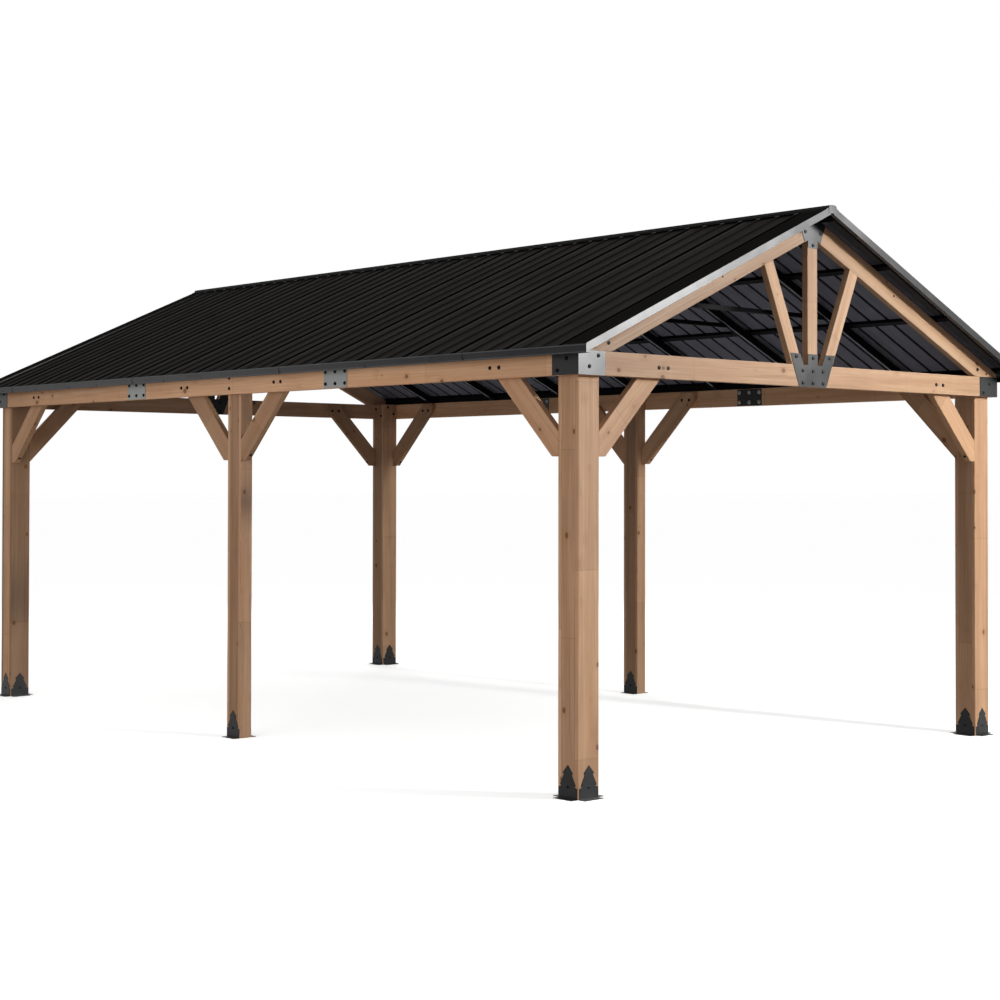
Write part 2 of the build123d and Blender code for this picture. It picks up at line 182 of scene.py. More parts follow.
# How light each post is, partly its own tone and partly painted light and shade: its two boards across the
# length, then its two along it
POST_TONES_AND_PAINTED_LIGHT = {
    "post_front_right": (0.6, 0.0), "post_back_right": (0.4, -0.4), "post_front_middle": (-0.1, -1.8),
    "post_back_middle": (0.0, -1.6), "post_front_left": (-1.7, 0.8), "post_back_left": (-0.4, -1.5),
}
# Share of the cooler painted tint on the posts, which stands in for the cast of their shade
POST_PAINTED_LIGHT = 0.4

# Chance: where each board lies in the grain, along and across, and how its tone strays
GRAIN_START = (2, 60)
GRAIN_SIDE = (0.03, 0.09)
GRAIN_JUMP = (-40, 40)
TONE_SPREAD = (-0.2, 0.2)

# Colours of the cedar
CEDAR_STREAKS = ((0.32, (0.49, 0.27, 0.155)), (0.52, (0.57, 0.335, 0.203)), (0.72, (0.635, 0.395, 0.25)))
CEDAR_PATCHES = ((0.34, (0.90, 0.87, 0.85)), (0.66, (1.0, 0.985, 0.95)))
RING_BROWN = (0.45, 0.23, 0.12)
FIBRE_BROWN = (0.40, 0.24, 0.14)
CHECK_BROWN = (0.33, 0.165, 0.085)
CHECK_PALE = (0.74, 0.50, 0.34)
# Multipliers of the wood colour: a plain one, and a cooler one painted on as the cast of light on lit gable
# timber and of shade on the posts
WARM_TINT = (0.92, 0.92, 0.91)
PAINTED_LIGHT_COLOUR = (0.89, 0.94, 1.01)
HALO_BROWN = (0.36, 0.17, 0.075)
KNOT_BROWN = (0.14, 0.065, 0.03)
JOINT_BROWN = (0.20, 0.11, 0.06)
CEDAR_SHEEN = 0.04

# Colours of the roof sheet, and of the painted shade in the hollows of its ribs and under its overhangs
SHEET_ABOVE = ((0.3, (0.0082, 0.0073, 0.0064)), (0.7, (0.0165, 0.0145, 0.0130)))
SHEET_BELOW = ((0.3, (0.152, 0.154, 0.191)), (0.7, (0.234, 0.236, 0.289)))
HOLLOW_SHADE = (0.012, 0.011, 0.013)
OVERHANG_SHADE = (0.02, 0.02, 0.02)
OVERHANG_FADE = 0.02
SHEET_SHEEN_BELOW = 0.020
SHEET_SHEEN_ABOVE = 0.006
COAT_BUMP = 0.12
COAT_BUMP_DEPTH = 0.0006

# Coats of the other steel, and the colours of painted shade, shadows and highlights on it
COATS = {
    "bracket_steel": {"colour": (0.016, 0.0162, 0.0172), "rough": 0.34, "sheen": 0.14},
    "splice_steel": {"colour": (0.25, 0.257, 0.246), "rough": 0.42, "sheen": 0.24, "speck": 0.10},
    "trim_steel": {
        "colour": (0.020, 0.020, 0.0215), "rough": 0.34, "sheen": 0.14, "speck": 0.2, "streak": 0.5,
        # Painted shade: a darker colour on the trim's faces turned up
        "upper_shade": (0.013, 0.0122, 0.0115),
    },
    "frame_steel": {"colour": (0.005, 0.005, 0.006), "rough": 0.62, "sheen": 0.012},
    "bolt_black": {"colour": (0.010, 0.009, 0.009), "rough": 0.5, "sheen": 0.045},
    "nut_zinc": {"colour": (0.42, 0.42, 0.40), "rough": 0.35, "sheen": 0.24, "speck": 0.15},
    # Painted highlight under the slim steel rafters
    "lip_highlight": {"colour": (0.30, 0.31, 0.36), "rough": 0.5, "sheen": 0.08},
    # Painted shadow at the sheet laps, also the dark joints of the eave trim, and a painted highlight
    # beside each lap
    "lap_shadow": {"colour": (0.004, 0.004, 0.004), "rough": 0.7, "sheen": 0.0},
    "lap_highlight": {"colour": (0.031, 0.030, 0.029), "rough": 0.58, "sheen": 0.006},
    # Painted highlight on the hems of the eave trim
    "hem_steel": {"colour": (0.060, 0.060, 0.062), "rough": 0.5, "sheen": 0.08},
}

# Camera, fitted to the photograph's posts, beams and roof edges
CAMERA_PLACE = (9.2125, -8.0068, 1.5367)
CAMERA_AZIMUTH = 47.6399
CAMERA_PITCH = 0.9349
CAMERA_ROLL = 0.085
FOCAL_PIXELS = 1848.89
CENTRE_ROW = 449.23
FRAME_PIXELS = 1000
SENSOR_WIDTH = 36.0

# Lamps: the softbox and the card show in sheen only, and the others give none
WHITE = (1, 1, 1)
KEY_COLOUR = (0.97, 1.0, 0.93)
GABLE_AIM = Vector((1.5, 0.3, 1.8))
FRONT_AIM = Vector((0.0, -1.8, 1.9))
MIDDLE_AIM = Vector((0.0, 0.0, 1.6))
SHEEN_LAMPS = ("softbox", "card")
LAMPS = {
    "key": {"place": (8.04, 2.35, 3.35), "aim": GABLE_AIM, "size": 0.3, "watts": 305, "colour": KEY_COLOUR},
    "softbox": {"place": (8.04, 2.18, 4.35), "aim": GABLE_AIM, "size": 1.2, "watts": 7100, "colour": WHITE},
    "card": {"place": (-7.0, -6.2, 2.6), "aim": FRONT_AIM, "size": 3.4, "watts": 82, "colour": WHITE},
    "fill": {"place": (0.8, -6.2, 1.5), "aim": FRONT_AIM, "size": 4.0, "watts": 112, "colour": WHITE},
    "back": {"place": (-8.5, 5.5, 4.5), "aim": MIDDLE_AIM, "size": 4.0, "watts": 240, "colour": WHITE},
}

# Sky and floor: white where they are seen, dimmer for the light that they give
SKY_STRENGTH = 0.48
FLOOR_SIZE = 300
FLOOR_BOUNCE = (0.18, 0.18, 0.18)
FLOOR_WHITE = (0.9, 0.9, 0.9)
FLOOR_GLOW = 0.53


# Material helpers

def new_material(name):
    material = bpy.data.materials.new(name)
    material.use_nodes = True
    return material, material.node_tree, material.node_tree.nodes["Principled BSDF"]


def make(tree, kind, inputs=None, **settings):
    """A shader node with its settings; an input is a value or another node's output."""
    made = tree.nodes.new(kind)
    for key, value in settings.items():
        setattr(made, key, value)
    for key, value in (inputs or {}).items():
        if isinstance(value, bpy.types.NodeSocket):
            tree.links.new(value, made.inputs[key])
        else:
            made.inputs[key].default_value = value
    return made


def calc(tree, operation, first, second=0.0):
    return make(tree, "ShaderNodeMath", {0: first, 1: second}, operation=operation).outputs[0]


def plus(tree, first, second):
    return calc(tree, "ADD", first, second)


def minus(tree, first, second):
    return calc(tree, "SUBTRACT", first, second)


def times(tree, first, second):
    return calc(tree, "MULTIPLY", first, second)


def stretch(tree, vector, scale):
    return make(tree, "ShaderNodeVectorMath", {0: vector, 1: scale}, operation="MULTIPLY").outputs[0]


def add_vectors(tree, first, second):
    return make(tree, "ShaderNodeVectorMath", {0: first, 1: second}, operation="ADD").outputs[0]


def part_of(tree, vector, axis):
    return make(tree, "ShaderNodeSeparateXYZ", {0: vector}).outputs[axis]


def noise(tree, vector, scale, detail):
    inputs = {"Vector": vector, "Scale": scale, "Detail": detail, "Roughness": 0.55}
    return make(tree, "ShaderNodeTexNoise", inputs).outputs["Fac"]


def ramp(tree, factor, stops):
    made = make(tree, "ShaderNodeValToRGB", {"Fac": factor})
    elements = made.color_ramp.elements
    while len(elements) < len(stops):
        elements.new(0.5)
    for element, (place, colour) in zip(elements, stops):
        element.position = place
        element.color = (*colour, 1)
    return made.outputs["Color"]


def blend(tree, factor, first, second, how="MIX"):
    made = tree.nodes.new("ShaderNodeMix")
    made.data_type = "RGBA"
    made.blend_type = how
    for index, value in ((0, factor), (6, first), (7, second)):
        if isinstance(value, bpy.types.NodeSocket):
            tree.links.new(value, made.inputs[index])
        else:
            made.inputs[index].default_value = value if index == 0 else (*value, 1)
    return made.outputs[2]


def fit_range(tree, value, low, high, out_low=0.0, out_high=1.0):
    return make(
        tree, "ShaderNodeMapRange",
        {"Value": value, "From Min": low, "From Max": high, "To Min": out_low, "To Max": out_high},
        interpolation_type="SMOOTHSTEP",
    ).outputs["Result"]


def seen_rays(tree):
    """1 for what the camera, a mirror or glass sees, 0 for light that reaches the object."""
    path = make(tree, "ShaderNodeLightPath").outputs
    mirrored = calc(tree, "MAXIMUM", path["Is Glossy Ray"], path["Is Transmission Ray"])
    return calc(tree, "MAXIMUM", path["Is Camera Ray"], mirrored)


def face_turn(tree, axis):
    """How far a face is turned to an axis, from -1 to 1."""
    return part_of(tree, make(tree, "ShaderNodeNewGeometry").outputs["True Normal"], axis)


def bump(tree, shader, height, strength, distance):
    made = make(tree, "ShaderNodeBump", {"Height": height, "Strength": strength, "Distance": distance})
    tree.links.new(made.outputs["Normal"], shader.inputs["Normal"])


# Cedar

def cedar_knots(tree, grain):
    """Small dark eyes in cells, each with a random size, and the halo round each."""
    cells = make(tree, "ShaderNodeTexVoronoi", {"Vector": stretch(tree, grain, (0.8, 1, 1)), "Scale": 9.0})
    pick = make(tree, "ShaderNodeSeparateColor", {0: cells.outputs["Color"]}).outputs[0]
    eye = plus(tree, 0.045, times(tree, pick, 0.10))
    reach = calc(tree, "DIVIDE", cells.outputs["Distance"], eye)
    return fit_range(tree, reach, 1.15, 0.75), fit_range(tree, reach, 3.4, 0.9)


def cedar_rings(tree, grain, halo):
    """Growth rings that drift along the board and are pushed aside by the knots."""
    drift = noise(tree, stretch(tree, grain, (1.1, 9, 9)), 1, 3)
    push = make(tree, "ShaderNodeCombineXYZ", {0: 0.0, 1: drift, 2: halo}).outputs[0]
    place = add_vectors(tree, stretch(tree, grain, (0.02, 1, 1)), stretch(tree, push, (0, 0.05, 0.012)))
    return make(
        tree, "ShaderNodeTexWave", {"Vector": place, "Scale": 26.0, "Distortion": 1.4, "Detail": 2.0},
        wave_type="RINGS", rings_direction="X",
    ).outputs["Fac"]


def cedar_joints(tree, grain):
    """Jointed lengths: a random tone for each, and the thin zigzag line between them."""
    zigzag = times(tree, calc(tree, "PINGPONG", part_of(tree, grain, 1), 0.006), 0.9)
    reach = times(tree, plus(tree, part_of(tree, grain, 0), zigzag), 1.1)
    count = calc(tree, "FLOOR", reach)
    tone = make(tree, "ShaderNodeTexWhiteNoise", {"W": count}, noise_dimensions="1D").outputs["Value"]
    return tone, fit_range(tree, calc(tree, "PINGPONG", reach, 0.5), 0.0035, 0.0015)


def cedar_material():
    """Oiled softwood: long streaks, growth rings, knots, jointed lengths and fine fibres."""
    material, tree, shader = new_material("cedar")
    grain = make(tree, "ShaderNodeAttribute", attribute_name="grain").outputs["Vector"]
    tone = make(tree, "ShaderNodeAttribute", attribute_name="tone").outputs["Fac"]
    painted_light_tint = make(tree, "ShaderNodeAttribute", attribute_name="painted_light_tint").outputs["Fac"]
    knot, halo = cedar_knots(tree, grain)
    rings = cedar_rings(tree, grain, halo)
    length_tone, line = cedar_joints(tree, grain)
    streaks = noise(tree, stretch(tree, grain, (0.55, 16, 16)), 1, 5)
    fibres = noise(tree, stretch(tree, grain, (7, 240, 240)), 1, 3)
    checks = noise(tree, stretch(tree, grain, (1.7, 90, 90)), 1, 2)
    patches = noise(tree, stretch(tree, grain, (2.4, 11, 11)), 1, 4)

    # Colour of the wood, from its streaks to its finer marks
    colour = ramp(tree, streaks, CEDAR_STREAKS)
    colour = blend(tree, fit_range(tree, rings, 0.25, 0.95, 0.0, 0.22), colour, RING_BROWN)
    colour = blend(tree, fit_range(tree, fibres, 0.35, 0.75, 0.0, 0.13), colour, FIBRE_BROWN)
    colour = blend(tree, fit_range(tree, checks, 0.56, 0.70, 0.0, 0.34), colour, CHECK_BROWN)
    colour = blend(tree, fit_range(tree, checks, 0.40, 0.28, 0.0, 0.30), colour, CHECK_PALE)
    colour = blend(tree, 1.0, colour, ramp(tree, patches, CEDAR_PATCHES), "MULTIPLY")

    # Tone of each board and length, where a board's tone is partly painted light and shade, then knots and
    # joint lines
    shade = plus(tree, times(tree, tone, 0.20), times(tree, length_tone, 0.14))
    grey = make(tree, "ShaderNodeCombineColor", {0: shade, 1: shade, 2: shade}).outputs[0]
    # Painted light: boards with a share of the tint take the cooler cast
    tint = blend(tree, painted_light_tint, WARM_TINT, PAINTED_LIGHT_COLOUR)
    colour = blend(tree, 1.0, colour, add_vectors(tree, grey, tint), "MULTIPLY")
    colour = blend(tree, times(tree, halo, 0.22), colour, HALO_BROWN)
    colour = blend(tree, times(tree, knot, 0.75), colour, KNOT_BROWN)
    colour = blend(tree, times(tree, line, 0.24), colour, JOINT_BROWN)

    tree.links.new(colour, shader.inputs["Base Color"])
    tree.links.new(fit_range(tree, fibres, 0.3, 0.7, 0.58, 0.74), shader.inputs["Roughness"])
    shader.inputs["Specular IOR Level"].default_value = CEDAR_SHEEN
    raised = plus(tree, times(tree, fibres, 0.5), times(tree, rings, 0.3))
    bump(tree, shader, minus(tree, raised, plus(tree, knot, line)), 0.35, 0.0012)
    return material


# Steel

def coated_material(name, colour, rough, sheen, speck=0.25, streak=0.0, upper_shade=None):
    """Coated steel with dust and cloudy gloss; faces turned up can take a darker colour as painted shade,
    and are then matt.
    """
    material, tree, shader = new_material(name)
    place = make(tree, "ShaderNodeTexCoord").outputs["Object"]
    cloud = noise(tree, place, 5.0, 4)
    fine = noise(tree, place, 420.0, 2)
    run = noise(tree, stretch(tree, place, (26, 1.3, 1.3)), 1, 4)
    dust = plus(tree, times(tree, cloud, 1 - streak), times(tree, run, streak))
    dark = tuple(c * (1 - speck) for c in colour)
    light = tuple(c * (1 + speck) for c in colour)
    coat = ramp(tree, dust, ((0.3, dark), (0.7, light)))
    gloss = fit_range(tree, cloud, 0.25, 0.75, rough - 0.03, rough + 0.04)
    shader.inputs["Specular IOR Level"].default_value = sheen
    if upper_shade:
        # Faces turned up have no sheen, and those turned to the front or back have half of it
        above = calc(tree, "GREATER_THAN", face_turn(tree, 2), 0.5)
        front = calc(tree, "GREATER_THAN", calc(tree, "ABSOLUTE", face_turn(tree, 1)), 0.7)
        matt = calc(tree, "MAXIMUM", above, times(tree, front, 0.5))
        tree.links.new(minus(tree, sheen, times(tree, matt, sheen)), shader.inputs["Specular IOR Level"])
        # Painted shade: faces turned up take the darker colour
        coat = blend(tree, above, coat, upper_shade)
        gloss = plus(tree, gloss, times(tree, above, 0.24))
    tree.links.new(coat, shader.inputs["Base Color"])
    tree.links.new(gloss, shader.inputs["Roughness"])
    bump(tree, shader, fine, COAT_BUMP, COAT_BUMP_DEPTH)
    return material


def sheet_material():
    """Roof sheet: near black above, a slate coat below, with painted shade below: black in each rib's
    hollow, darker beyond the gables.
    """
    material, tree, shader = new_material("roof_steel")
    place = make(tree, "ShaderNodeTexCoord").outputs["Object"]
    cloud = noise(tree, place, 3.0, 4)
    fine = noise(tree, place, 350.0, 2)
    run = noise(tree, stretch(tree, place, (30, 1.2, 1.2)), 1, 5)
    dust = plus(tree, times(tree, run, 0.6), times(tree, cloud, 0.4))

    # Distance from the nearest rib, as a share of the step between ribs, and from the gables
    along = part_of(tree, make(tree, "ShaderNodeNewGeometry").outputs["Position"], 0)
    steps = calc(tree, "DIVIDE", plus(tree, along, SHEET_LENGTH), RIB_STEP)
    from_rib = minus(tree, 0.5, calc(tree, "PINGPONG", steps, 0.5))
    hollow = fit_range(tree, from_rib, 0.095, 0.07)
    reach = calc(tree, "ABSOLUTE", along)
    overhang = fit_range(tree, reach, RING_LENGTH - OVERHANG_FADE, RING_LENGTH + OVERHANG_FADE)

    above = calc(tree, "GREATER_THAN", face_turn(tree, 2), 0.0)
    # Painted shade: black in the hollow of each rib, and darker on the overhangs beyond the gables
    below = blend(tree, hollow, ramp(tree, dust, SHEET_BELOW), HOLLOW_SHADE)
    below = blend(tree, times(tree, overhang, 0.8), below, OVERHANG_SHADE)
    colour = blend(tree, above, below, ramp(tree, dust, SHEET_ABOVE))
    matt = times(tree, above, SHEET_SHEEN_BELOW - SHEET_SHEEN_ABOVE)
    tree.links.new(colour, shader.inputs["Base Color"])
    tree.links.new(fit_range(tree, cloud, 0.25, 0.75, 0.52, 0.64), shader.inputs["Roughness"])
    tree.links.new(minus(tree, SHEET_SHEEN_BELOW, matt), shader.inputs["Specular IOR Level"])
    bump(tree, shader, fine, COAT_BUMP, COAT_BUMP_DEPTH)
    return material


looks = {name: coated_material(name, **coat) for name, coat in COATS.items()}
looks["cedar"] = cedar_material()
looks["roof_steel"] = sheet_material()
for part in frame["record"]["subparts"]:
    node = nodes[part["node"]]
    node.data.materials.clear()
    node.data.materials.append(looks[part["material_slot"]])


# Pieces

def add_piece(name, points, faces, look, attributes=None):
    mesh = bpy.data.meshes.new(name)
    mesh.from_pydata(points, [], faces)
    for key, (kind, values) in (attributes or {}).items():
        layer = mesh.attributes.new(key, kind, "POINT")
        layer.data.foreach_set("vector" if kind == "FLOAT_VECTOR" else "value", values)
    mesh.materials.append(looks[look])
    mesh.update()
    piece = bpy.data.objects.new(name, mesh)
    scene.collection.objects.link(piece)
    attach(piece, "root")
    return piece


def square_to(direction):
    """A direction square to another, and level unless the other is upright."""
    return direction.cross(UP if abs(direction.dot(UP)) < 0.9 else ALONG).normalized()


# Timber: every board is its own bevelled solid with its own grain

class Boards:
    """The boards of one piece, as points and faces with the grain and tone of each point."""

    def __init__(self, lightness, painted_light_share):
        self.points = []
        self.faces = []
        self.grain = []
        self.tone = []
        self.lightness = lightness
        self.painted_light_share = painted_light_share

    def add(self, solid, lightness=None):
        """One board from a plain solid; the grain runs along its longest edge."""
        longest = max(solid.edges, key=lambda edge: edge.calc_length())
        along = (longest.verts[1].co - longest.verts[0].co).normalized()
        side = square_to(along)
        third = along.cross(side)
        bmesh.ops.bevel(
            solid, geom=solid.edges[:], affect="EDGES", offset=BEVEL, segments=2, profile=0.5,
            clamp_overlap=True,
        )
        solid.verts.index_update()
        middle = sum((vert.co for vert in solid.verts), Vector()) / len(solid.verts)
        shift = Vector((dice.uniform(*GRAIN_START), dice.uniform(*GRAIN_SIDE), dice.uniform(*GRAIN_SIDE)))
        jump = dice.uniform(*GRAIN_JUMP)
        tone = (self.lightness if lightness is None else lightness) + dice.uniform(*TONE_SPREAD)
        start = len(self.points)
        for vert in solid.verts:
            local = vert.co - middle
            self.points.append(vert.co.copy())
            self.grain += [
                local.dot(along) + shift.x + jump,
                local.dot(side) + shift.y,
                local.dot(third) + shift.z,
            ]
            self.tone.append(tone)
        self.faces += [[start + vert.index for vert in face.verts] for face in solid.faces]
        solid.free()

    def piece(self, name, *node_names):
        attributes = {
            "grain": ("FLOAT_VECTOR", self.grain),
            "tone": ("FLOAT", self.tone),
            "painted_light_tint": ("FLOAT", [self.painted_light_share] * len(self.points)),
        }
        made = add_piece(name, self.points, self.faces, "cedar", attributes)
        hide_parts(*node_names)


def box_solid(low, high):
    solid = bmesh.new()
    bmesh.ops.create_cube(solid, size=1)
    for vert in solid.verts:
        vert.co = Vector([low[i] if vert.co[i] < 0 else high[i] for i in range(3)])
    return solid


def node_solids(node):
    """The plain solids of a node, each with its flat faces joined."""
    whole = bmesh.new()
    whole.from_mesh(node.data)
    whole.transform(node.matrix_world)
    bmesh.ops.remove_doubles(whole, verts=whole.verts[:], dist=1e-5)
    bmesh.ops.dissolve_limit(whole, angle_limit=0.01, verts=whole.verts[:], edges=whole.edges[:])
    whole.verts.index_update()
    taken = set()
    for first in whole.verts:
        if first in taken:
            continue
        group = set()
        waiting = [first]
        while waiting:
            vert = waiting.pop()
            if vert not in group:
                group.add(vert)
                waiting += [edge.other_vert(vert) for edge in vert.link_edges]
        taken |= group
        solid = bmesh.new()
        twin = {vert: solid.verts.new(vert.co) for vert in sorted(group, key=lambda v: v.index)}
        for face in whole.faces:
            if face.verts[0] in group:
                solid.faces.new([twin[vert] for vert in face.verts])
        solid.normal_update()
        yield solid
    whole.free()


def add_post(name, middle_x, middle_y, wide, deep):
    """A box post: full boards on its two ends along X, narrower boards between them."""
    ends, sides = POST_TONES_AND_PAINTED_LIGHT[name]
    boards = Boards(0.0, POST_PAINTED_LIGHT)
    x0, x1 = middle_x - wide / 2, middle_x + wide / 2
    y0, y1 = middle_y - deep / 2, middle_y + deep / 2
    boards.add(box_solid((x0, y0, 0), (x0 + POST_WALL, y1, BEAM_TOP)), ends)
    boards.add(box_solid((x1 - POST_WALL, y0, 0), (x1, y1, BEAM_TOP)), ends)
    boards.add(box_solid((x0 + POST_WALL, y0, 0), (x1 - POST_WALL, y0 + POST_WALL, BEAM_TOP)), sides)
    boards.add(box_solid((x0 + POST_WALL, y1 - POST_WALL, 0), (x1 - POST_WALL, y1, BEAM_TOP)), sides)
    boards.piece(name + "_boards", name)


def add_posts():
    corner_x = HALF_LENGTH - POST_SIZE / 2
    corner_y = HALF_WIDTH - POST_SIZE / 2
    middle_y = HALF_WIDTH - MIDDLE_DEPTH / 2
    for side, across in (("front", -1), ("back", 1)):
        for end, along in (("left", -1), ("right", 1)):
            add_post(f"post_{side}_{end}", along * corner_x, across * corner_y, POST_SIZE, POST_SIZE)
        add_post(f"post_{side}_middle", 0, across * middle_y, MIDDLE_WIDTH, MIDDLE_DEPTH)


def add_other_timber():
    """Beams, braces and gable timber, each board from a solid of its node."""
    for name in sorted(nodes):
        if name.startswith(("beam_", "knee_braces", "gable_rafter", "gable_webs")):
            kind = "_".join(name.split("_")[:2])
            boards = Boards(*TONES_AND_PAINTED_LIGHT.get(name, TONES_AND_PAINTED_LIGHT[kind]))
            for solid in node_solids(nodes[name]):
                boards.add(solid)
            boards.piece(name + "_boards", name)


# Fasteners and small fittings, joined by kind

class Bits:
    """Small forms of one kind, gathered as points and faces."""

    def __init__(self):
        self.points = []
        self.faces = []

    def turned(self, place, facing, radius, shares, sides):
        """A turned form from rings of radius and height, its base on a face."""
        out = Vector(facing).normalized()
        first = square_to(out)
        second = out.cross(first)
        start = len(self.points)
        for wide, high in shares:
            middle = Vector(place) + out * high * radius
            for step in range(sides):
                turn = 2 * math.pi * step / sides
                spoke = first * math.cos(turn) + second * math.sin(turn)
                self.points.append(middle + spoke * wide * radius)
        for ring in range(len(shares) - 1):
            for step in range(sides):
                a = start + ring * sides + step
                b = start + ring * sides + (step + 1) % sides
                self.faces.append((a, b, b + sides, a + sides))
        last = start + (len(shares) - 1) * sides
        self.faces.append(tuple(last + step for step in range(sides)))

    def strip(self, start, stop, width, height):
        """A bar from start to stop; width and height are vectors from its lower edge."""
        a, b, w, h = Vector(start), Vector(stop), Vector(width), Vector(height)
        base = len(self.points)
        self.points += [a, b, b + w, a + w, a + h, b + h, b + w + h, a + w + h]
        for face in ((0, 3, 2, 1), (4, 5, 6, 7), (0, 1, 5, 4), (1, 2, 6, 5), (2, 3, 7, 6), (3, 0, 4, 7)):
            self.faces.append(tuple(base + index for index in face))

    def piece(self, name, look, slot):
        add_piece(name, self.points, self.faces, look)


def bolt(bits, place, facing, radius=BOLT_RADIUS):
    """A dome head with a socket, on a thin washer."""
    bits.turned(place, facing, radius, BOLT_SHARES, 12)


def nut(bits, place, facing, radius=NUT_RADIUS):
    """A hexagon nut on a washer with the bolt's end."""
    bits.turned(place, facing, radius, WASHER_SHARES, 14)
    bits.turned(place, facing, radius, NUT_SHARES, 6)
    bits.turned(place, facing, radius, BOLT_END_SHARES, 10)


def screw(bits, place, facing, radius=SCREW_RADIUS):
    """A low head with a socket."""
    bits.turned(place, facing, radius, SCREW_SHARES, 8)


def add_corner_bolts(bolts):
    """Corner brackets: the same handed pattern on each side, through to the inner faces of the posts."""
    for out in SIDES:
        distance, half = (RING_LENGTH, RING_WIDTH) if out.x else (RING_WIDTH, RING_LENGTH)
        right = UP.cross(out)
        outside = out * (distance + PLATE)
        inside = out * (distance - BOARD - POST_SIZE)
        for end, from_end, rise in CORNER_BOLTS:
            place = right * end * (half - from_end) + UP * (BEAM_UNDERSIDE + rise)
            bolt(bolts, outside + place, out)
            bolt(bolts, inside + place, -out)


def add_splice_bolts(bolts, nuts):
    """Splice plates: six bolts each, with nuts on the plate inside."""
    for across in (-1, 1):
        for along in (-1, 1):
            for column in (-1, 0, 1):
                x = along * SPLICE_PLACE + column * SPLICE_BOLT_STEP
                for rise in SPLICE_BOLT_RISES:
                    level = BEAM_UNDERSIDE + rise
                    bolt(bolts, (x, across * (RING_WIDTH + PLATE), level), (0, across, 0))
                    nut(nuts, (x, across * (HALF_WIDTH - PLATE), level), (0, -across, 0))


def add_middle_post_bolts(bolts, screws):
    """Middle posts: two bolts on the beam, two on the inner face and two screws on each side."""
    for across in (-1, 1):
        inner = across * (HALF_WIDTH - MIDDLE_DEPTH)
        for rise in MIDDLE_BEAM_RISES:
            bolt(bolts, (0, across * RING_WIDTH, BEAM_UNDERSIDE + rise), (0, across, 0))
        for x, rise in MIDDLE_INNER_BOLTS:
            bolt(bolts, (x, inner, BEAM_UNDERSIDE + rise), (0, -across, 0))
        for along in (-1, 1):
            for depth, rise in MIDDLE_SIDE_SCREWS:
                place = (along * MIDDLE_WIDTH / 2, across * (HALF_WIDTH - depth), BEAM_UNDERSIDE + rise)
                screw(screws, place, (along, 0, 0))


def bolt_brace(bolts, post, run, beam, rise):
    """One brace from a post's face: two bolts at its head, on beam and brace, and one under its toe."""
    out = beam.normalized()
    for shift in (-BRACE_BOLT_SHIFT, BRACE_BOLT_SHIFT):
        head = post + run * (BRACE_BOLT_REACH + shift) + UP * (BEAM_UNDERSIDE + rise)
        bolt(bolts, head + beam, out)
        bolt(bolts, head + beam - out * BOARD * 2, -out)
    toe = post + run * TOE_BOLT_REACH + UP * TOE_BOLT_LEVEL
    bolt(bolts, toe + beam - out * BOARD * 3 / 2, run - UP, TOE_BOLT_RADIUS)


def add_brace_bolts(bolts):
    """Braces on the long sides, two at each post, and one at each end of the gables."""
    long_end = HALF_LENGTH - POST_SIZE
    gable_end = HALF_WIDTH - POST_SIZE
    middle = MIDDLE_WIDTH / 2
    for side in (-1, 1):
        beam = ACROSS * side * RING_WIDTH
        for place, step in ((-long_end, 1), (-middle, -1), (middle, 1), (long_end, -1)):
            bolt_brace(bolts, ALONG * place, ALONG * step, beam, LONG_BRACE_RISE)
    for side in (-1, 1):
        beam = ALONG * side * RING_LENGTH
        for place, step in ((-gable_end, 1), (gable_end, -1)):
            bolt_brace(bolts, ACROSS * place, ACROSS * step, beam, GABLE_BRACE_RISE)


def add_truss_bolts(bolts, screws):
    """Gable trusses: bolts through both gussets and apex plates, a bolt and two screws on each rafter."""
    plate_bolts = [(column * GUSSET_BOLT_STEP, rise) for column in (-1, 0, 1) for rise in GUSSET_BOLT_RISES]
    plate_bolts += [*GUSSET_ARM_BOLTS, *APEX_BOLTS]
    for along in (-1, 1):
        for face, out in ((RING_LENGTH + PLATE, along), (HALF_LENGTH - PLATE, -along)):
            for y, rise in plate_bolts:
                bolt(bolts, (along * face, y, BEAM_UNDERSIDE + rise), (out, 0, 0))
        ring = along * RING_LENGTH
        bolt_level = BEAM_UNDERSIDE + RAFTER_BOLT_RISE
        for across in (-1, 1):
            bolt(bolts, (ring, across * RAFTER_BOLT_PLACE, bolt_level), (along, 0, 0))
            for y, rise, radius in RAFTER_SCREWS:
                screw(screws, (ring, across * y, BEAM_UNDERSIDE + rise), (along, 0, 0), radius)


def add_foot_screws(screws):
    """Foot brackets: a screw in the middle of each face plate."""
    level = UP * FOOT_SCREW_LEVEL
    half_post = POST_SIZE / 2
    for along in (-1, 1):
        for across in (-1, 1):
            middle = Vector((along * (HALF_LENGTH - half_post), across * (HALF_WIDTH - half_post), 0))
            for out in SIDES:
                screw(screws, middle + level + out * (half_post + PLATE), out, FOOT_SCREW_RADIUS)
    for out in (-ACROSS, ACROSS):
        screw(screws, out * (HALF_WIDTH + PLATE) + level, out, FOOT_SCREW_RADIUS)
        screw(screws, out * (HALF_WIDTH - MIDDLE_DEPTH - PLATE) + level, -out, FOOT_SCREW_RADIUS)


def add_fasteners():
    bolts, nuts, screws = Bits(), Bits(), Bits()
    add_corner_bolts(bolts)
    add_splice_bolts(bolts, nuts)
    add_middle_post_bolts(bolts, screws)
    add_brace_bolts(bolts)
    add_truss_bolts(bolts, screws)
    add_foot_screws(screws)
    bolts.piece("bolt_heads", "bolt_black", "bracket_steel")
    nuts.piece("splice_nuts", "nut_zinc", "splice_steel")
    screws.piece("screw_heads", "bolt_black", "bracket_steel")


# Roof details

